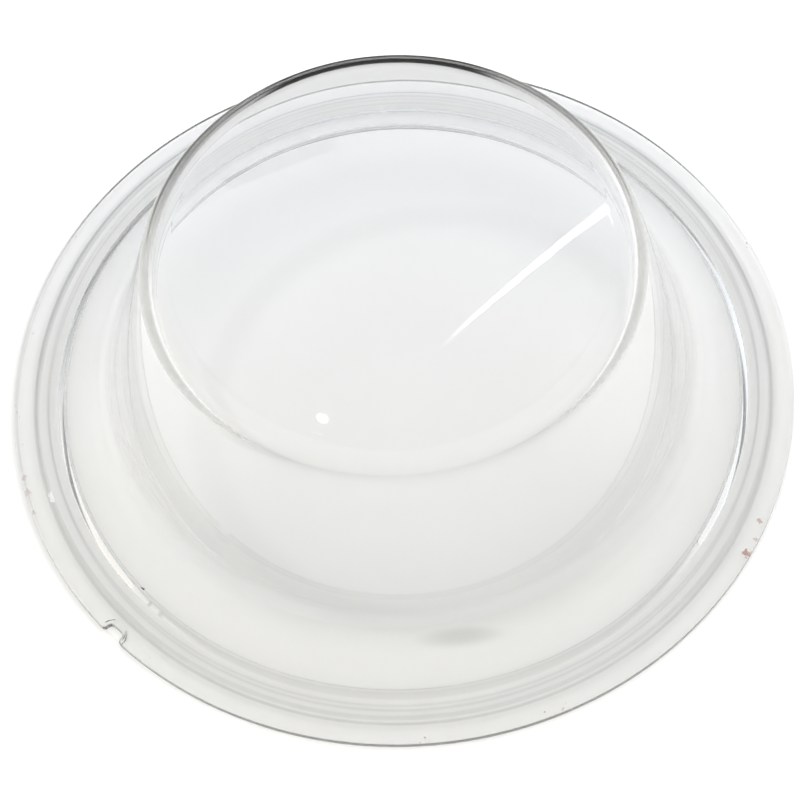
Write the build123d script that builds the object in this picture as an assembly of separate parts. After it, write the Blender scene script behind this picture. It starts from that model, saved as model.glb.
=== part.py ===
from build123d import *
import math
import os

# Door glass of a front-loading washing machine: one pressed piece of clear glass.
# Millimetres. +Z is the axis of the bowl and points to its closed end (the drum side).
# The origin is the centre of the flange's flat back face. The locating notch is on -Y.
# "Outer" is the convex side of the bowl, "hollow" the side open towards -Z.

# ---- flange ----
RIM_R = 165.0          # outer radius of the flange
FLANGE_T = 4.6         # thickness of the clamping flange
RIM_ROUND = 1.4        # fire-polished rounding of the rim's two edges
BACK_R = 146.0         # inner radius of the flat back face
BACK_ROUND = 1.5       # rounding where the back face turns up into the hollow
BLANK_R = RIM_R + 5.0  # the flange is revolved oversize, then trimmed to the rim outline

# ---- low step between the clamping flange and the sloping ring ----
FOOT_R = 157.4         # foot of the step, on the flange's front face
FOOT_ROUND = 1.2
STEP_R = 153.9         # top corner of the step
STEP_Z = 6.5
STEP_ROUND = 1.6

# ---- sloping ring between the step and the wall ----
RING_Z = 9.0           # height at which the ring would meet the wall
RING_T = 4.0           # thickness of the ring at the wall, along Z
TURN_R = BACK_R - 3.0  # outer radius of the ring's hollow face
TURN_ROUND = 2.0       # rounding at that radius

# ---- wall of the bowl, a cone ----
WALL_REF_Z = 20.0      # height at which the wall's radius and thickness are given
WALL_REF_R = 120.7     # outer radius of the wall there
WALL_T = 2.8           # thickness of the wall there
WALL_SLOPE = 0.277     # loss of radius per mm of height, 15.5 degrees of draft
WALL_SLOPE_IN = 0.297  # the hollow side has a degree more draft, so the wall thickens upwards
WALL_FOOT_ROUND = 26.0     # outer concave blend from the ring into the wall
WALL_FOOT_ROUND_IN = 30.0  # the same blend on the hollow side

# ---- closed end ----
END_Z = 105.5          # height of the corner between the wall and the closed end
CROWN_Z = 108.6        # height of the closed end at the axis
END_T = 3.4            # thickness of the closed end
END_ROUND = 15.0       # outer rounding of that corner
END_ROUND_IN = 8.5     # the same rounding on the hollow side

# ---- locating notch in the rim ----
NOTCH_W = 8.0          # width between its sides
NOTCH_D = 4.0          # depth, radially
NOTCH_BOTTOM = 2.0     # rounding of its two inner corners
NOTCH_MOUTH = 1.6      # rounding of the two corners where it opens to the rim

# ---- ring-shaped cutter that trims the rim ----
TRIM_R = RIM_R + 30.0
TRIM_BELOW = 10.0      # reach below the back face
TRIM_ABOVE = 10.0      # reach above the flange's front face


def wall_r(z, inset=0.0):
    """Radius of the wall's outer face at height z, moved inwards by a distance."""
    return WALL_REF_R + WALL_SLOPE * (WALL_REF_Z - z) - inset * math.hypot(1, WALL_SLOPE)


def wall_in_r(z, inset=0.0):
    """Radius of the wall's hollow face at height z, moved inwards by a distance."""
    return (wall_r(WALL_REF_Z, WALL_T) + WALL_SLOPE_IN * (WALL_REF_Z - z)
            - inset * math.hypot(1, WALL_SLOPE_IN))


# The crown is a sphere through the corner circle and the top point.
CROWN_RISE = CROWN_Z - END_Z
CROWN_R = (wall_r(END_Z) ** 2 + CROWN_RISE ** 2) / (2 * CROWN_RISE)


def crown_z(r, drop=0.0):
    """Height of the crown at radius r, lowered by a thickness."""
    return CROWN_Z - drop - (CROWN_R - math.sqrt(CROWN_R ** 2 - r ** 2))


def unit(x, y):
    length = math.hypot(x, y)
    return x / length, y / length


def end_corner(drop, wall, slope, radius):
    """Rounding between crown and wall: its end on the crown, its middle, its end on the wall."""
    sphere_z = CROWN_Z - drop - CROWN_R
    # Bisect for the height where a centre set in from the wall is also set in from the crown.
    low, high = WALL_REF_Z, CROWN_Z
    for _ in range(80):
        z = (low + high) / 2
        if math.hypot(wall(z, radius), z - sphere_z) > CROWN_R - radius:
            high = z
        else:
            low = z
    r = wall(z, radius)
    to_crown = unit(r, z - sphere_z)
    to_wall = unit(1.0, slope)
    to_middle = unit(to_crown[0] + to_wall[0], to_crown[1] + to_wall[1])
    return [(r + radius * x, z + radius * y) for x, y in (to_crown, to_middle, to_wall)]


def corner(before, tip, after, radius):
    """Rounding of the corner at tip between two straight runs: start, middle, end."""
    back = unit(before[0] - tip[0], before[1] - tip[1])
    ahead = unit(after[0] - tip[0], after[1] - tip[1])
    half_angle = math.acos(back[0] * ahead[0] + back[1] * ahead[1]) / 2
    tangent = radius / math.tan(half_angle)
    gap = radius / math.sin(half_angle) - radius     # from the tip to the arc's middle
    middle = unit(back[0] + ahead[0], back[1] + ahead[1])
    return [(tip[0] + d[0] * reach, tip[1] + d[1] * reach)
            for d, reach in ((back, tangent), (middle, gap), (ahead, tangent))]


def crown_arc(end, drop, to_axis=False):
    """Half section of the crown between the axis and the point end."""
    r = end[0] / 2
    points = [(0, CROWN_Z - drop), (r, crown_z(r, drop)), end]
    if to_axis:
        points.reverse()
    ThreePointArc(*points)


def make_blank():
    """The bowl with an oversize flange, revolved from its half section."""
    outer_end = end_corner(0.0, wall_r, WALL_SLOPE, END_ROUND)
    hollow_end = end_corner(END_T, wall_in_r, WALL_SLOPE_IN, END_ROUND_IN)

    # The ring's hollow face is parallel to its outer face, which falls slightly outwards.
    ring_slope = (STEP_Z - RING_Z) / (STEP_R - wall_r(RING_Z))
    ring_in_z = RING_Z - RING_T
    ring_in_r = wall_in_r(ring_in_z)
    turn_z = ring_in_z + ring_slope * (TURN_R - ring_in_r)

    # Corners down the outer side and back up the hollow side: (radius, z), rounding.
    # The rim's edges stay sharp here and are rounded after the notch is cut.
    profile = [
        (outer_end[2], 0),
        ((wall_r(RING_Z), RING_Z), WALL_FOOT_ROUND),
        ((STEP_R, STEP_Z), STEP_ROUND),
        ((FOOT_R, FLANGE_T), FOOT_ROUND),
        ((BLANK_R, FLANGE_T), 0),
        ((BLANK_R, 0.0), 0),
        ((BACK_R, 0.0), BACK_ROUND),
        ((TURN_R, turn_z), TURN_ROUND),
        ((ring_in_r, ring_in_z), WALL_FOOT_ROUND_IN),
        (hollow_end[2], 0),
    ]
    with BuildSketch(Plane.XZ) as section:
        with BuildLine():
            crown_arc(outer_end[0], 0.0)
            ThreePointArc(*outer_end)
            at = outer_end[2]
            for (before, _), (tip, radius), (after, _) in zip(profile, profile[1:], profile[2:]):
                if radius == 0:
                    Line(at, tip)
                    at = tip
                    continue
                arc = corner(before, tip, after, radius)
                Line(at, arc[0])
                ThreePointArc(*arc)
                at = arc[2]
            Line(at, hollow_end[2])
            ThreePointArc(*reversed(hollow_end))
            crown_arc(hollow_end[0], END_T, to_axis=True)
            Line((0, CROWN_Z - END_T), (0, CROWN_Z))
        make_face()
    return revolve(section.sketch, axis=Axis.Z, revolution_arc=360).solids()[0]


def notch_arcs(side):
    """Mouth rounding (rim to notch side) and bottom rounding (side to bottom).

    side is 1 for the notch's +X side and -1 for its -X side.
    """
    half = NOTCH_W / 2
    mouth_x = half + NOTCH_MOUTH
    mouth_y = -math.sqrt((RIM_R - NOTCH_MOUTH) ** 2 - mouth_x ** 2)
    to_rim = unit(mouth_x, mouth_y)
    to_middle = unit(to_rim[0] - 1.0, to_rim[1])
    mouth = [(to_rim[0] * RIM_R, to_rim[1] * RIM_R),
             (mouth_x + NOTCH_MOUTH * to_middle[0], mouth_y + NOTCH_MOUTH * to_middle[1]),
             (half, mouth_y)]

    bottom_y = -(RIM_R - NOTCH_D)
    centre_x = half - NOTCH_BOTTOM
    centre_y = bottom_y - NOTCH_BOTTOM
    diagonal = NOTCH_BOTTOM * math.sqrt(0.5)
    bottom = [(half, centre_y),
              (centre_x + diagonal, centre_y + diagonal),
              (centre_x, bottom_y)]
    return [[(side * x, y) for x, y in arc] for arc in (mouth, bottom)]


def make_rim_outline():
    """Rim seen along the axis: a circle with the notch."""
    right_mouth, right_bottom = notch_arcs(1)
    left_mouth, left_bottom = notch_arcs(-1)
    with BuildSketch() as outline:
        with BuildLine():
            ThreePointArc(right_mouth[0], (0, RIM_R), left_mouth[0])
            ThreePointArc(*left_mouth)
            Line(left_mouth[2], left_bottom[0])
            ThreePointArc(*left_bottom)
            Line(left_bottom[2], right_bottom[2])
            ThreePointArc(*reversed(right_bottom))
            Line(right_bottom[0], right_mouth[2])
            ThreePointArc(*reversed(right_mouth))
        make_face()
    return outline.sketch


def on_rim(edge, z):
    """True for an edge of the rim's outline at height z, notch included."""
    inner_limit = RIM_R - NOTCH_D - 0.5
    points = [edge.position_at(t) for t in (0.0, 0.5, 1.0)]
    return all(abs(p.Z - z) < 1e-4 and math.hypot(p.X, p.Y) > inner_limit for p in points)


def make_glass():
    trim = Circle(TRIM_R) - make_rim_outline()
    cutter = extrude(trim, amount=TRIM_BELOW + FLANGE_T + TRIM_ABOVE)
    glass = (make_blank() - Pos(0, 0, -TRIM_BELOW) * cutter).solids()[0]
    rim_edges = [e for e in glass.edges() if on_rim(e, 0.0) or on_rim(e, FLANGE_T)]
    return glass.fillet(RIM_ROUND, rim_edges).solids()[0]


os.makedirs("parts", exist_ok=True)
export_step(make_glass(), "parts/door_glass.step")
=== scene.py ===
"""Door glass: a pressed glass bowl, turned about Z, with a notched flange.

The flange's back face lies on z = 0, the closed end points to +Z and the notch is at -Y.
A pale floor lies just below the flange. The camera looks down on the closed end.
"""

import math

import bpy
from mathutils import Matrix, Vector


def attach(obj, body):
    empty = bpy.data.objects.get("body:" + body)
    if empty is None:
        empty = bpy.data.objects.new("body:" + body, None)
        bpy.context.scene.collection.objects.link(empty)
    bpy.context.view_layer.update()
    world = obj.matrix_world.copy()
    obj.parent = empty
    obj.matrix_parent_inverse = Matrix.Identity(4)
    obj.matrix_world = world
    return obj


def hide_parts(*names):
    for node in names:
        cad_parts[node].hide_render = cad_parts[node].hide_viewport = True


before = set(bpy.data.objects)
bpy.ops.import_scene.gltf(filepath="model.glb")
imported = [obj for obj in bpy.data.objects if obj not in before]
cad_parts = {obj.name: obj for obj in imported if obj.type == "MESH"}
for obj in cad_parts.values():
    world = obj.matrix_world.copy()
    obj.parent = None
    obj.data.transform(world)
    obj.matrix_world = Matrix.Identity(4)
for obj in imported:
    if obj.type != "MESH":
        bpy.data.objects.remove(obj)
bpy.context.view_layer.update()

MM = 0.001

# ---------------------------------------------------------------------------
# Section of the glass, in millimetres. R is a radius from the axis, Z a height,
# D a depth, T a thickness and ROUND the radius of a rounding.
# ---------------------------------------------------------------------------
RIM_R, FLANGE_T, RIM_ROUND = 165.0, 4.6, 1.4
BACK_R, BACK_ROUND, TURN_D, TURN_ROUND = 146.0, 1.5, 3.0, 2.0
FOOT_R, FOOT_ROUND = 157.4, 1.2
STEP_R, STEP_Z, STEP_ROUND = 153.9, 6.5, 1.6
RING_Z, RING_T = 9.0, 4.0
WALL_REF_Z, WALL_REF_R = 20.0, 120.7          # where the outer wall's radius is given
WALL_SLOPE, WALL_SLOPE_IN, WALL_T = 0.277, 0.297, 2.8
WALL_FOOT_ROUND, WALL_FOOT_ROUND_IN = 26.0, 30.0
END_Z, CROWN_Z, END_T, END_ROUND, END_ROUND_IN = 105.5, 108.6, 3.4, 15.0, 8.5
NOTCH_W, NOTCH_D, NOTCH_BOTTOM, NOTCH_MOUTH = 8.0, 4.0, 2.0, 1.6   # last two: roundings
RIM_IN = 158.9        # where the columns leave the circle for the notched outline

AROUND = 440          # steps around the rim circle, outside the notch
NOTCH_FLAT_STEPS, NOTCH_ARC_STEPS = 4, 10     # in each half of the notch
RIM_STEPS = 8         # steps in each rounding of the rim


def unit(x, y):
    length = math.hypot(x, y)
    return x / length, y / length


def toward(start, end):
    return unit(end[0] - start[0], end[1] - start[1])


def offset(point, direction, distance):
    return point[0] + distance * direction[0], point[1] + distance * direction[1]


def wall_r(z, inset=0.0):
    """Radius of the wall's outer face at height z, moved inwards square to the face."""
    return WALL_REF_R + WALL_SLOPE * (WALL_REF_Z - z) - inset * math.sqrt(1 + WALL_SLOPE ** 2)


def wall_in_r(z, inset=0.0):
    """The same for the wall's inner face."""
    return (wall_r(WALL_REF_Z, WALL_T) + WALL_SLOPE_IN * (WALL_REF_Z - z)
            - inset * math.sqrt(1 + WALL_SLOPE_IN ** 2))


# The crown is a shallow sphere through the top of the wall.
END_R = wall_r(END_Z)
SAG = CROWN_Z - END_Z
CROWN_R = (END_R ** 2 + SAG ** 2) / (2 * SAG)

# Section points are (r, z, normal r, normal z); the normals point out of the glass.


def arc(centre, radius, start_dir, end_dir, steps, side=1.0):
    """The shorter arc between two directions; side is -1 where the centre is outside the glass."""
    start = math.atan2(start_dir[1], start_dir[0])
    end = math.atan2(end_dir[1], end_dir[0])
    sweep = (end - start + math.pi) % (2 * math.pi) - math.pi
    points = []
    for i in range(steps + 1):
        angle = start + sweep * i / steps
        direction = (math.cos(angle), math.sin(angle))
        points.append((*offset(centre, direction, radius),
                       side * direction[0], side * direction[1]))
    return points


def straight(start, end, steps):
    """Points from start to end; the glass lies on the right hand of the travel."""
    dr, dz = toward(start, end)
    return [(start[0] + (end[0] - start[0]) * i / steps,
             start[1] + (end[1] - start[1]) * i / steps, -dz, dr) for i in range(steps + 1)]


def crown(r_from, r_to, steps, drop, side):
    """Part of the crown, set down by drop; side is 1 for the front, -1 for the hollow."""
    centre_z = CROWN_Z - drop - CROWN_R
    points = []
    for i in range(steps + 1):
        r = r_from + (r_to - r_from) * i / steps
        z = CROWN_Z - drop - (CROWN_R - math.sqrt(CROWN_R ** 2 - r ** 2))
        normal_r, normal_z = unit(r, z - centre_z)
        points.append((r, z, side * normal_r, side * normal_z))
    return points


def end_corner(drop, wall, slope, radius):
    """Centre of the rounding between crown and wall, and its directions to crown and wall."""
    crown_centre_z = CROWN_Z - drop - CROWN_R
    low, high = WALL_REF_Z, CROWN_Z
    for _ in range(80):
        z = (low + high) / 2
        if math.hypot(wall(z, radius), z - crown_centre_z) > CROWN_R - radius:
            high = z
        else:
            low = z
    centre = (wall(z, radius), z)
    return centre, unit(centre[0], centre[1] - crown_centre_z), unit(1.0, slope)


def bend(before, corner, after, radius, steps):
    """Rounding of a corner: its start, its end and its points."""
    back, onward = toward(corner, before), toward(corner, after)
    angle = math.acos(back[0] * onward[0] + back[1] * onward[1])
    start = offset(corner, back, radius / math.tan(angle / 2))
    end = offset(corner, onward, radius / math.tan(angle / 2))
    middle = unit(back[0] + onward[0], back[1] + onward[1])
    centre = offset(corner, middle, radius / math.sin(angle / 2))
    start_dir, end_dir = toward(centre, start), toward(centre, end)
    left = (back[1], -back[0])                # left hand of the travel
    side = 1.0 if start_dir[0] * left[0] + start_dir[1] * left[1] > 0 else -1.0
    return start, end, arc(centre, radius, start_dir, end_dir, steps, side)


def join(*runs):
    """Chains runs of section points, leaving out repeated ones."""
    joined = []
    for run in runs:
        for point in run:
            if joined and math.dist(point[:2], joined[-1][:2]) < 1e-6:
                continue
            joined.append(point)
    return joined


def front_section():
    """From the axis over the crown, down the wall and over the step to the flange."""
    centre, crown_dir, wall_dir = end_corner(0.0, wall_r, WALL_SLOPE, END_ROUND)
    crown_end = offset(centre, crown_dir, END_ROUND)
    wall_top = offset(centre, wall_dir, END_ROUND)
    wall_foot = (wall_r(RING_Z), RING_Z)
    step = (STEP_R, STEP_Z)
    toe = (FOOT_R, FLANGE_T)
    foot_start, foot_end, foot_arc = bend(wall_top, wall_foot, step, WALL_FOOT_ROUND, 24)
    step_start, step_end, step_arc = bend(wall_foot, step, toe, STEP_ROUND, 6)
    toe_start, toe_end, toe_arc = bend(step, toe, (RIM_R, FLANGE_T), FOOT_ROUND, 6)
    return join(
        crown(0.0, crown_end[0], 14, 0.0, 1.0),
        arc(centre, END_ROUND, crown_dir, wall_dir, 18),
        straight(wall_top, foot_start, 14),
        foot_arc,
        straight(foot_end, step_start, 5),
        step_arc,
        straight(step_end, toe_start, 1),
        toe_arc,
        straight(toe_end, (RIM_IN, FLANGE_T), 1),
    )


def hollow_section():
    """From the flange's back face up the turn, along the ring and up the wall to the axis."""
    centre, crown_dir, wall_dir = end_corner(END_T, wall_in_r, WALL_SLOPE_IN, END_ROUND_IN)
    crown_end = offset(centre, crown_dir, END_ROUND_IN)
    wall_top = offset(centre, wall_dir, END_ROUND_IN)
    ring_slope = (STEP_Z - RING_Z) / (STEP_R - wall_r(RING_Z))
    ring_z = RING_Z - RING_T
    wall_foot = (wall_in_r(ring_z), ring_z)
    turn_r = BACK_R - TURN_D
    turn = (turn_r, ring_z + ring_slope * (turn_r - wall_foot[0]))
    back = (BACK_R, 0.0)
    back_start, back_end, back_arc = bend((RIM_R, 0.0), back, turn, BACK_ROUND, 7)
    turn_start, turn_end, turn_arc = bend(back, turn, wall_foot, TURN_ROUND, 7)
    foot_start, foot_end, foot_arc = bend(turn, wall_foot, wall_top, WALL_FOOT_ROUND_IN, 22)
    return join(
        straight((RIM_IN, 0.0), back_start, 3),
        back_arc,
        straight(back_end, turn_start, 1),
        turn_arc,
        straight(turn_end, foot_start, 5),
        foot_arc,
        straight(foot_end, wall_top, 14),
        arc(centre, END_ROUND_IN, wall_dir, crown_dir, 12, -1.0),
        crown(crown_end[0], 0.0, 14, END_T, -1.0),
    )


def notch_half():
    """The +X half of the notch, from its middle to the rim circle: x, y, normal x, normal y."""
    half = NOTCH_W / 2
    flat = half - NOTCH_BOTTOM
    bottom_y = -(RIM_R - NOTCH_D)
    mouth_x = half + NOTCH_MOUTH
    mouth_y = -math.sqrt((RIM_R - NOTCH_MOUTH) ** 2 - mouth_x ** 2)
    points = [(flat * i / NOTCH_FLAT_STEPS, bottom_y, 0.0, -1.0)
              for i in range(NOTCH_FLAT_STEPS + 1)]
    for i in range(1, NOTCH_ARC_STEPS + 1):
        angle = math.pi / 2 * (1 - i / NOTCH_ARC_STEPS)
        c, s = math.cos(angle), math.sin(angle)
        points.append((flat + NOTCH_BOTTOM * c, bottom_y - NOTCH_BOTTOM + NOTCH_BOTTOM * s,
                       -c, -s))
    points.append((half, mouth_y, -1.0, 0.0))
    end = math.atan2(mouth_y, mouth_x) + 2 * math.pi
    for i in range(1, NOTCH_ARC_STEPS + 1):
        angle = math.pi + (end - math.pi) * i / NOTCH_ARC_STEPS
        c, s = math.cos(angle), math.sin(angle)
        points.append((mouth_x + NOTCH_MOUTH * c, mouth_y + NOTCH_MOUTH * s, c, s))
    return points


def rim_outline():
    """The notched rim, walked with rising angle, and each column's angle away from the rim."""
    right = notch_half()
    notch = [(-x, y, -nx, ny) for x, y, nx, ny in right[:0:-1]] + right
    edge = math.atan2(right[-1][1], right[-1][0]) % (2 * math.pi)
    span = 2 * (edge - 1.5 * math.pi)
    circle_angles = [edge + (2 * math.pi - span) * i / AROUND for i in range(1, AROUND)]
    circle = [(RIM_R * math.cos(a), RIM_R * math.sin(a), math.cos(a), math.sin(a))
              for a in circle_angles]
    # across the notch the angles are spread evenly by length
    along = [0.0]
    for last, point in zip(notch, notch[1:]):
        along.append(along[-1] + math.dist(point[:2], last[:2]))
    angles = [1.5 * math.pi + span * (length / along[-1] - 0.5) for length in along]
    return notch + circle, angles + circle_angles


# Rings are lists of (x, y, z, normal x, normal y, normal z), one entry per column.


def revolve(section, angles):
    """Rings of a section; a point on the axis gives a ring of one."""
    rings = []
    for r, z, nr, nz in section:
        if r < 1e-6:
            rings.append([(0.0, 0.0, z, 0.0, 0.0, 1.0 if nz > 0 else -1.0)])
        else:
            rings.append([(r * math.cos(a), r * math.sin(a), z,
                           nr * math.cos(a), nr * math.sin(a), nz) for a in angles])
    return rings


def rim_ring(outline, tilt, front):
    """One ring of a rim rounding, where the normal is tilted out of the level by tilt."""
    c, s = math.cos(tilt), math.sin(tilt)
    inset, depth = RIM_ROUND * (1 - c), RIM_ROUND * (1 - s)
    z, nz = (FLANGE_T - depth, s) if front else (depth, -s)
    return [(x - nx * inset, y - ny * inset, z, nx * c, ny * c, nz) for x, y, nx, ny in outline]


def build_glass():
    outline, angles = rim_outline()
    tilts = [math.pi / 2 * i / RIM_STEPS for i in range(RIM_STEPS + 1)]
    rings = revolve(front_section(), angles)
    rings += [rim_ring(outline, tilt, front=True) for tilt in reversed(tilts)]
    rings += [rim_ring(outline, tilt, front=False) for tilt in tilts]
    rings += revolve(hollow_section(), angles)

    verts, normals, ring_ids = [], [], []
    for ring in rings:
        ring_ids.append(range(len(verts), len(verts) + len(ring)))
        verts += [(x * MM, y * MM, z * MM) for x, y, z, *_ in ring]
        normals += [point[3:] for point in ring]
    faces = []
    columns = len(outline)
    for a, b in zip(ring_ids, ring_ids[1:]):
        for k in range(columns):
            following = (k + 1) % columns
            if len(a) == 1:
                faces.append((a[0], b[k], b[following]))
            elif len(b) == 1:
                faces.append((a[k], b[0], a[following]))
            else:
                faces.append((a[k], b[k], b[following], a[following]))

    mesh = bpy.data.meshes.new("glass_bowl")
    mesh.from_pydata(verts, [], faces)
    mesh.update()
    mesh.shade_smooth()
    mesh.normals_split_custom_set_from_vertices(normals)
    glass = bpy.data.objects.new("glass_bowl", mesh)
    bpy.context.scene.collection.objects.link(glass)
    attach(glass, "root")
    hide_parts("door_glass")
    mesh.materials.append(glass_material())


# ---------------------------------------------------------------------------
# Node helpers
# ---------------------------------------------------------------------------
class Graph:
    """Short ways to add nodes to a tree; inputs may be sockets or plain values."""

    def __init__(self, tree):
        self.tree = tree
        tree.nodes.clear()

    def node(self, kind, inputs=None, **settings):
        node = self.tree.nodes.new(kind)
        for name, value in settings.items():
            setattr(node, name, value)
        for key, value in (inputs or {}).items():
            self.put(node.inputs[key], value)
        return node

    def put(self, socket, value):
        if isinstance(value, bpy.types.NodeSocket):
            self.tree.links.new(value, socket)
        else:
            socket.default_value = value

    def math(self, operation, a, b=0.0, c=0.0):
        return self.node("ShaderNodeMath", {0: a, 1: b, 2: c}, operation=operation).outputs[0]

    def add(self, a, b):
        return self.math("ADD", a, b)

    def sub(self, a, b):
        return self.math("SUBTRACT", a, b)

    def mul(self, a, b):
        return self.math("MULTIPLY", a, b)

    def max(self, a, b):
        return self.math("MAXIMUM", a, b)

    def rest(self, value):
        """One minus the value."""
        return self.sub(1.0, value)

    def at_least(self, count, number):
        return self.math("GREATER_THAN", count, number - 0.5)

    def fewer(self, count, number):
        return self.math("LESS_THAN", count, number - 0.5)

    def vec(self, operation, a, b=(0, 0, 0)):
        node = self.node("ShaderNodeVectorMath", {0: a, 1: b}, operation=operation)
        scalar = operation in ("DOT_PRODUCT", "LENGTH", "DISTANCE")
        return node.outputs["Value" if scalar else "Vector"]

    def dot(self, a, b):
        return self.vec("DOT_PRODUCT", a, b)

    def ramp(self, value, span, to=(0.0, 1.0)):
        """Smooth step over the span of value, from to[0] to to[1]."""
        return self.node("ShaderNodeMapRange", {
            "Value": value, "From Min": span[0], "From Max": span[1],
            "To Min": to[0], "To Max": to[1],
        }, interpolation_type="SMOOTHSTEP").outputs["Result"]

    def mix(self, factor, a, b):
        return self.node("ShaderNodeMix", {"Factor": factor, 6: a, 7: b},
                         data_type="RGBA").outputs[2]

    def noise(self, vector, scale, detail, roughness):
        return self.node("ShaderNodeTexNoise", {
            "Vector": vector, "Scale": scale, "Detail": detail, "Roughness": roughness,
        }).outputs["Fac"]

    def object_place(self):
        return self.node("ShaderNodeTexCoord").outputs["Object"]

    def light_path(self):
        return self.node("ShaderNodeLightPath").outputs

    def shader(self, kind, **inputs):
        return self.node(kind, inputs).outputs[0]

    def mix_shaders(self, factor, a, b):
        return self.node("ShaderNodeMixShader", {0: factor, 1: a, 2: b}).outputs[0]

    def add_shaders(self, a, b):
        return self.node("ShaderNodeAddShader", {0: a, 1: b}).outputs[0]


def material(name):
    made = bpy.data.materials.new(name)
    made.use_nodes = True
    return made, Graph(made.node_tree)


BLACK = (0.0, 0.0, 0.0, 1.0)
WHITE = (1.0, 1.0, 1.0, 1.0)

# Soft rings of painted shade, in metres: radius, half width, amount. They darken the glass's
# colour in the corner of the step, along the ring and where the hollow turns up from the back
# face, standing in for the step's dark refraction lines.
STEP_SHADE_RINGS = (
    (0.1548, 0.0008, 0.13),
    (0.1500, 0.0005, 0.07),
    (0.1440, 0.0012, 0.035),
)
# Dirt spots on the flange's front: degrees round from +X, radius and size in metres, amount.
DIRT_SPOTS = (
    (13.8, 0.1634, 0.0019, 0.65), (19.3, 0.1622, 0.0013, 0.45), (16.4, 0.1640, 0.0010, 0.35),
    (-116.6, 0.1640, 0.0018, 0.22), (-119.0, 0.1636, 0.0012, 0.22), (-113.0, 0.1642, 0.0012, 0.2),
)


def glass_bump(g, place):
    """The slow waves of pressing, with a faint finer ripple."""
    wave = g.noise(place, scale=9.0, detail=1.0, roughness=0.4)
    ripple = g.noise(place, scale=60.0, detail=1.0, roughness=0.4)
    wave_share, ripple_share = 1.0, 0.05
    height = g.add(g.mul(wave, wave_share), g.mul(ripple, ripple_share))
    return g.shader("ShaderNodeBump", Strength=1.0, Distance=0.00012, Height=height)


# painted shade: dark rings put into the glass's own colour at the step and the turn
def step_shade_amount(g, radius):
    rings = []
    for at, half, amount in STEP_SHADE_RINGS:
        away = g.math("ABSOLUTE", g.sub(radius, at))
        rings.append(g.ramp(away, span=(half * 0.4, half * 1.6), to=(amount, 0.0)))
    return g.add(g.add(rings[0], rings[1]), rings[2])


def dirt_amount(g, place, radius):
    """Fine specks in patches along the rim, and the ragged spots of DIRT_SPOTS."""
    speck_noise = g.noise(place, scale=700.0, detail=2.0, roughness=0.5)
    patch_noise = g.noise(place, scale=26.0, detail=1.0, roughness=0.5)
    at_rim = g.ramp(radius, span=(0.1610, 0.1640))
    dirt = g.mul(g.ramp(speck_noise, span=(0.66, 0.72)),
                 g.mul(at_rim, g.ramp(patch_noise, span=(0.56, 0.66))))
    raggedness = 3.0
    for degrees, at, size, amount in DIRT_SPOTS:
        turn = math.radians(degrees)
        spot = (at * math.cos(turn), at * math.sin(turn), FLANGE_T * MM)
        away = g.mul(g.vec("DISTANCE", place, spot), 1.0 / size)
        ragged = g.add(away, g.mul(g.sub(speck_noise, 0.5), raggedness))
        dirt = g.max(dirt, g.ramp(ragged, span=(0.6, 1.0), to=(amount, 0.0)))
    return dirt


def glass_material():
    """Clear glass, faintly tinted in depth, darkened by rings of painted shade at the step, hazy
    on the flange and dirty along the rim.
    """
    made, g = material("pressed_glass")
    place = g.object_place()
    axes = g.node("ShaderNodeSeparateXYZ", {0: place}).outputs
    radius = g.math("SQRT", g.add(g.mul(axes[0], axes[0]), g.mul(axes[1], axes[1])))
    on_flange = g.ramp(radius, span=(0.1575, 0.1590))
    haze = g.ramp(g.noise(place, scale=420.0, detail=3.0, roughness=0.6), span=(0.56, 0.80))
    flange_rough, haze_rough = 0.20, 0.08
    clear = g.shader(
        "ShaderNodeBsdfGlass",
        IOR=1.50,
        # the glass's colour goes nearly black in the rings of painted shade
        Color=g.mix(step_shade_amount(g, radius), WHITE, (0.02, 0.03, 0.04, 1.0)),
        Roughness=g.mul(on_flange, g.math("MULTIPLY_ADD", haze, haze_rough, flange_rough)),
        Normal=glass_bump(g, place))
    dirt = g.shader("ShaderNodeBsdfDiffuse", Color=(0.30, 0.12, 0.08, 1.0))
    depth = g.shader("ShaderNodeVolumeAbsorption",
                     Color=(0.970, 0.970, 0.965, 1.0), Density=100.0)
    g.node("ShaderNodeOutputMaterial", {
        "Surface": g.mix_shaders(dirt_amount(g, place, radius), clear, dirt),
        "Volume": depth,
    })
    return made


build_glass()

# ---------------------------------------------------------------------------
# Camera and room directions, in a frame that stands 49 degrees round from the part's -Y
# ---------------------------------------------------------------------------
ROOM_TURN = Matrix.Rotation(math.radians(49.0), 4, "Z")
CAMERA_PLACE = (0.0, -0.515754, 0.885043)
CAMERA_AXES = (                      # the camera's own X, Y and Z
    (0.997031, -0.066112, -0.039487),
    (0.076994, 0.865169, 0.495534),
    (0.001402, -0.497103, 0.867691),
)


def room_direction(right, away, up):
    """Direction from its parts to the camera's right, away from the camera and up."""
    return (ROOM_TURN.to_3x3() @ Vector((right, away, up))).normalized()


AWAY = room_direction(0.0, 1.0, 0.0)
RIGHT = room_direction(1.0, 0.0, 0.0)
AWAY_LEFT = room_direction(-0.22, 1.0, 0.0)


def build_camera():
    lens = bpy.data.cameras.new("view")
    lens.lens = 108.38
    lens.shift_y = 0.002
    lens.sensor_width = 36.0
    lens.clip_start = 0.01
    lens.clip_end = 60.0
    camera = bpy.data.objects.new("view", lens)
    bpy.context.scene.collection.objects.link(camera)
    pose = Matrix(CAMERA_AXES).transposed().to_4x4()
    pose.translation = CAMERA_PLACE
    camera.matrix_world = ROOM_TURN @ pose
    bpy.context.scene.camera = camera


build_camera()

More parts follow.
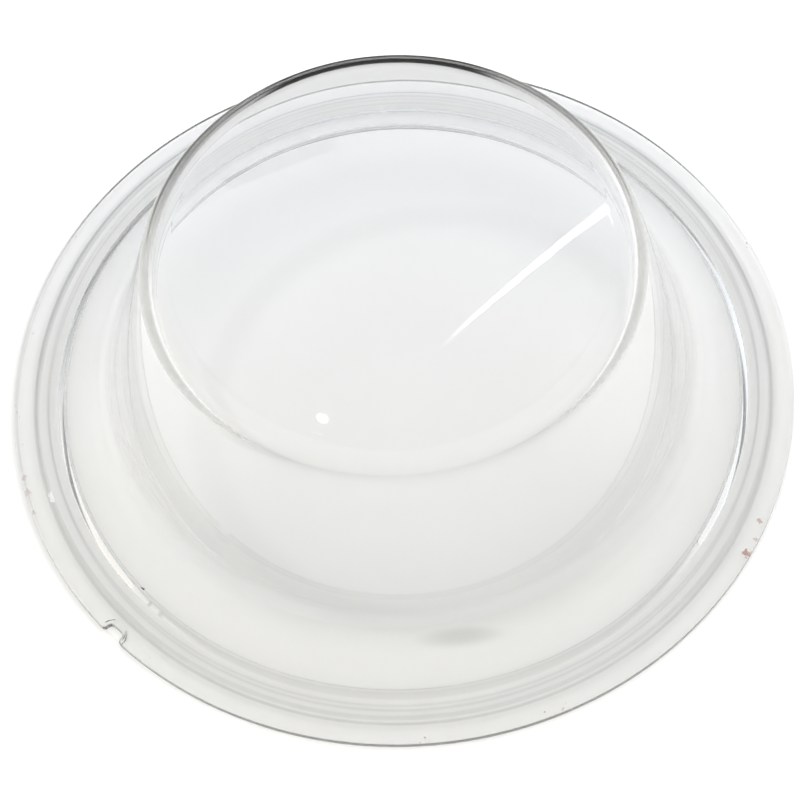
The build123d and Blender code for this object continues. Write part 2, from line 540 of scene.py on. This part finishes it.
# ---------------------------------------------------------------------------
# Stage: a pale floor under a pale, soft room. Light that has been turned round inside the
# glass comes from low in the room, where it is darker, most of all behind the object.
# Amounts of dimming run from 0, none, to 1, black.
# ---------------------------------------------------------------------------
FAR_DARK, SIDE_DARK, BACK_DARK = 0.97, 0.58, 0.70   # away, broadly away, by the camera
LED_DARK = 0.95                      # light led a long way inside the glass
MIRROR_FAR_DARK, MIRROR_SIDE_DARK = 0.42, 0.52
PAST_RIM_DARK = 0.36                 # floor outside the rim, seen through much glass
CONTACT_DARK = 0.16
WALL_SHADOW, PATCH_SHADOW = 0.045, 0.20
STEEP_DARK = 0.62                    # high in the room, after a turn inside the glass
GLOW = 0.185                         # strength of the floor's own light

HALF_FLOOR, FLOOR_Z, FLOOR_CELLS = 6.0, -0.0004, 24   # metres, metres, cells a side


def facings(g, level_dir):
    """How far a level direction points away from the camera, and away and a little left."""
    return g.dot(level_dir, AWAY), g.dot(level_dir, AWAY_LEFT)


def turned_inside(g, level_dir, place=1.0, led_place=0.0):
    """How much a ray is dimmed: only one seen directly, after a reflection inside the glass.
    Light that has crossed the glass a second time is dimmed little; light led a long way
    inside the wall or the rim is dimmed behind the object and where led_place says."""
    path = g.light_path()
    glossy, crossed = path["Glossy Depth"], path["Transmission Depth"]
    direct = g.fewer(path["Diffuse Depth"], 1)
    turned = g.mul(g.at_least(glossy, 1), g.at_least(crossed, 2))
    again_weight = 0.18              # of light that has crossed the glass again
    weight = g.add(g.mul(g.fewer(crossed, 3), 1.0 - again_weight), again_weight)
    toward_away, aside = facings(g, level_dir)
    amount = g.add(g.ramp(toward_away, span=(0.940, 0.970), to=(0.0, FAR_DARK - SIDE_DARK)),
                   g.ramp(aside, span=(0.42, 0.93), to=(0.0, SIDE_DARK)))
    amount = g.max(amount, g.ramp(toward_away, span=(-0.85, -0.35), to=(BACK_DARK, 0.0)))
    amount = g.mul(g.mul(amount, place), weight)
    led = g.max(g.ramp(toward_away, span=(0.55, 0.90)), led_place)
    led = g.mul(led, g.mul(g.at_least(glossy, 3), g.mul(weight, LED_DARK)))
    return g.mul(g.max(amount, led), g.mul(direct, turned))


def mirrored(g, level_dir):
    """How much a direct reflection off the outside is dimmed: the low room behind is dark."""
    path = g.light_path()
    outside = g.mul(g.at_least(path["Glossy Depth"], 1), g.fewer(path["Transmission Depth"], 1))
    outside = g.mul(outside, g.fewer(path["Diffuse Depth"], 1))
    toward_away, aside = facings(g, level_dir)
    amount = g.add(g.ramp(toward_away, span=(0.940, 0.970), to=(0.0, MIRROR_FAR_DARK)),
                   g.ramp(aside, span=(0.55, 0.95), to=(0.0, MIRROR_SIDE_DARK)))
    return g.mul(amount, outside)


def floor_shadow(g, flat):
    """Soft shadow of the wall, thrown to the right and forward, and a darker patch in it."""
    thrown = RIGHT * 0.016 - AWAY * 0.014
    shadow_r = 0.098
    ring = g.math("ABSOLUTE", g.sub(g.vec("DISTANCE", flat, thrown), shadow_r))
    shade = g.ramp(ring, span=(0.002, 0.010), to=(WALL_SHADOW, 0.0))
    patch_right, patch_near = 0.0156, 0.1183          # the patch's centre
    patch_width, patch_depth = 0.0170, 0.0050         # and its half sizes
    x = g.math("DIVIDE", g.sub(g.dot(flat, RIGHT), patch_right), patch_width)
    y = g.math("DIVIDE", g.add(g.dot(flat, AWAY), patch_near), patch_depth)
    patch = g.math("SQRT", g.add(g.mul(x, x), g.mul(y, y)))
    return g.max(shade, g.ramp(patch, span=(0.2, 1.4), to=(PATCH_SHADOW, 0.0)))


def floor_material():
    made, g = material("floor_paper")
    place = g.object_place()
    grain = g.noise(place, scale=900.0, detail=2.0, roughness=0.5)
    flat = g.vec("MULTIPLY", place, (1.0, 1.0, 0.0))
    level_dir = g.vec("NORMALIZE", flat)
    away = g.dot(level_dir, AWAY)
    right = g.dot(level_dir, RIGHT)
    radius = g.vec("LENGTH", flat)
    path = g.light_path()
    direct = g.fewer(path["Diffuse Depth"], 1)
    through = g.mul(g.at_least(path["Transmission Depth"], 2), direct)

    dim = turned_inside(g, level_dir,
                        place=g.ramp(radius, span=(0.120, 0.132)),
                        led_place=g.ramp(radius, span=(0.132, 0.140), to=(0.0, 0.30)))
    dim = g.max(dim, g.mul(mirrored(g, level_dir), g.ramp(radius, span=(0.18, 0.25))))
    twice = g.mul(g.at_least(path["Transmission Depth"], 4), direct)
    past_rim = g.mul(twice, g.ramp(radius, span=(0.163, 0.171)))
    dim = g.max(dim, g.mul(past_rim, PAST_RIM_DARK))
    # soft contact shadow outside the rim, on the side away from the light
    contact = g.mul(g.ramp(radius, span=(0.1640, 0.1735), to=(1.0, 0.0)),
                    g.ramp(right, span=(-0.97, -0.45), to=(1.0, 0.0)))
    contact_start = 0.1635
    contact = g.mul(contact, g.math("GREATER_THAN", radius, contact_start))
    dim = g.max(dim, g.mul(contact, CONTACT_DARK))
    # the floor seen through the bowl is a little darker towards the camera
    inner = g.ramp(g.mul(radius, away), span=(-0.090, 0.030), to=(0.10, 0.06))
    inner = g.mul(g.mul(inner, through), g.ramp(radius, span=(0.100, 0.130), to=(1.0, 0.0)))
    dim = g.max(dim, inner)
    dim = g.rest(g.mul(g.rest(dim), g.rest(g.mul(floor_shadow(g, flat), through))))

    grain_share = 0.12
    tone = g.mix(g.mul(grain, grain_share), (0.90, 0.90, 0.90, 1.0), (0.86, 0.87, 0.88, 1.0))
    paper = g.shader("ShaderNodeBsdfDiffuse", Color=g.mix(dim, tone, BLACK))

    # the floor under the glass glows a little: it stands in for the light the glass gathers
    under = g.mul(g.ramp(radius, span=(0.02, 0.11)),
                  g.ramp(radius, span=(0.134, 0.156), to=(1.0, 0.0)))
    under = g.add(under, g.mul(g.ramp(radius, span=(0.1490, 0.1570)),
                               g.ramp(radius, span=(0.166, 0.168), to=(1.0, 0.0))))
    level = g.mul(g.mul(through, under), g.ramp(away, span=(-0.9, 0.9), to=(GLOW * 0.5, GLOW)))
    glow = g.shader(
        "ShaderNodeEmission",
        Color=g.mix(g.ramp(away, span=(-0.3, 0.9)), (1.0, 0.98, 0.90, 1.0),
                    (0.93, 0.98, 1.07, 1.0)),
        Strength=g.mul(level, g.rest(dim)))
    g.node("ShaderNodeOutputMaterial", {"Surface": g.add_shaders(paper, glow)})
    return made


def build_floor():
    n = FLOOR_CELLS
    row = n + 1
    verts = [((i / n - 0.5) * 2 * HALF_FLOOR, (j / n - 0.5) * 2 * HALF_FLOOR, FLOOR_Z)
             for j in range(row) for i in range(row)]
    faces = [(j * row + i, j * row + i + 1, (j + 1) * row + i + 1, (j + 1) * row + i)
             for j in range(n) for i in range(n)]
    mesh = bpy.data.meshes.new("floor")
    mesh.from_pydata(verts, [], faces)
    mesh.update()
    floor = bpy.data.objects.new("floor", mesh)
    bpy.context.scene.collection.objects.link(floor)
    mesh.materials.append(floor_material())


build_floor()

# ---------------------------------------------------------------------------
# Room: ends of the lights and the dark bar mirrored in the closed end. Widths and
# distances are measured between unit directions.
# ---------------------------------------------------------------------------
STREAK_START = room_direction(0.1817165, 0.5684555, 0.8023948)
STREAK_END = room_direction(0.0255445, 0.4538266, 0.8907238)
STREAK_WIDTHS = (0.00388161, 0.00101259)      # at its start and its end
SPOT_ENDS = (room_direction(-0.0733058, 0.4089963, 0.9095869),
             room_direction(-0.0668144, 0.4049397, 0.9118989))
SPOT_REACH = (0.00928211, 0.0118136)          # summed distance to both ends: full, none
BAR_START = room_direction(-0.1331721, 0.6118095, 0.7797142)
BAR_END = room_direction(-0.0397281, 0.6406925, 0.7667690)
BAR_WIDTHS = (0.00675063, 0.00675063)
OVERHEAD = room_direction(-0.16, -0.02, 1.0)
COOL_SIDE = room_direction(0.3, 0.8, 0.0)
STREAK_LIGHT, SPOT_LIGHT, OVERHEAD_LIGHT, ROOM_LIGHT = 9.0, 9.0, 2.5, 1.50


def room_line(g, direction, start, end, widths):
    """Place along the line between two directions, and distance from it in its widths."""
    along = end - start
    length = along.length
    along.normalize()
    across = start.cross(end).normalized()
    place = g.math("DIVIDE", g.sub(g.dot(direction, along), start.dot(along)), length)
    away = g.math("ABSOLUTE", g.dot(direction, across))
    clamped = g.math("MINIMUM", g.max(place, 0.0), 1.0)
    width = g.math("MULTIPLY_ADD", clamped, widths[1] - widths[0], widths[0])
    return place, g.math("DIVIDE", away, width)


def room_lights(g, direction, direct, lit):
    """A tapering streak and a spot for mirrors, and a broad soft lamp nearly overhead."""
    place, away = room_line(g, direction, STREAK_START, STREAK_END, STREAK_WIDTHS)
    streak = g.mul(g.ramp(away, span=(0.8, 1.2), to=(1.0, 0.0)),
                   g.mul(g.ramp(place, span=(-0.012, 0.004)),
                         g.ramp(place, span=(0.45, 1.02), to=(1.0, 0.0))))
    reach = g.add(*(g.vec("DISTANCE", direction, end) for end in SPOT_ENDS))
    spot = g.ramp(reach, span=SPOT_REACH, to=(1.0, 0.0))
    small = g.mul(direct, g.add(g.mul(streak, STREAK_LIGHT), g.mul(spot, SPOT_LIGHT)))
    broad = g.ramp(g.vec("DISTANCE", direction, OVERHEAD), span=(0.08, 0.20), to=(1.0, 0.0))
    return g.add(small, g.mul(broad, g.mul(lit, OVERHEAD_LIGHT)))


def dark_bar(g, direction, direct, crossed):
    """A dark bar, only for rays mirrored off the outside."""
    place, away = room_line(g, direction, BAR_START, BAR_END, BAR_WIDTHS)
    bar = g.mul(g.ramp(away, span=(0.75, 1.25), to=(1.0, 0.0)),
                g.mul(g.ramp(place, span=(-0.04, 0.04)),
                      g.ramp(place, span=(0.96, 1.04), to=(1.0, 0.0))))
    return g.mul(bar, g.mul(direct, g.fewer(crossed, 1)))


def build_world():
    world = bpy.data.worlds.new("room")
    bpy.context.scene.world = world
    world.use_nodes = True
    g = Graph(world.node_tree)
    direction = g.node("ShaderNodeTexCoord").outputs["Generated"]
    up = g.node("ShaderNodeSeparateXYZ", {0: direction}).outputs[2]
    level_dir = g.vec("NORMALIZE", g.vec("MULTIPLY", direction, (1.0, 1.0, 0.0)))
    path = g.light_path()
    crossed = path["Transmission Depth"]
    lit = g.at_least(path["Diffuse Depth"], 1)        # rays that light a dull surface

    room = g.ramp(up, span=(0.0, 0.45), to=(0.70, 1.0))
    dim = turned_inside(g, level_dir)
    steep = g.mul(g.at_least(crossed, 2),
                  g.mul(g.at_least(path["Glossy Depth"], 1), g.rest(lit)))
    dim = g.max(dim, g.mul(steep, g.ramp(up, span=(0.22, 0.45), to=(0.0, STEEP_DARK))))
    dim = g.max(dim, g.mul(mirrored(g, level_dir), g.ramp(up, span=(0.45, 0.72), to=(1.0, 0.0))))
    level = g.mul(room, g.rest(dim))
    direct = g.rest(lit)
    level = g.mul(level, g.rest(dark_bar(g, direction, direct, crossed)))
    cool = g.ramp(g.dot(direction, COOL_SIDE), span=(-0.4, 0.8))
    tint = g.mix(cool, (1.02, 1.00, 0.945, 1.0), (0.945, 0.985, 1.045, 1.0))

    seen = g.shader("ShaderNodeBackground", Color=g.mix(level, BLACK, tint), Strength=ROOM_LIGHT)
    lights = g.shader("ShaderNodeBackground", Color=WHITE,
                      Strength=room_lights(g, direction, direct, lit))
    backdrop = g.shader("ShaderNodeBackground", Color=(0.97, 0.975, 0.98, 1.0), Strength=1.0)
    surface = g.mix_shaders(path["Is Camera Ray"], g.add_shaders(seen, lights), backdrop)
    g.node("ShaderNodeOutputWorld", {"Surface": surface})


build_world()

scene = bpy.context.scene
scene.view_settings.view_transform = "Standard"
BOUNCES = 64          # light is led a long way inside the wall and the rim
scene.cycles.max_bounces = BOUNCES
scene.cycles.transmission_bounces = BOUNCES
scene.cycles.glossy_bounces = BOUNCES
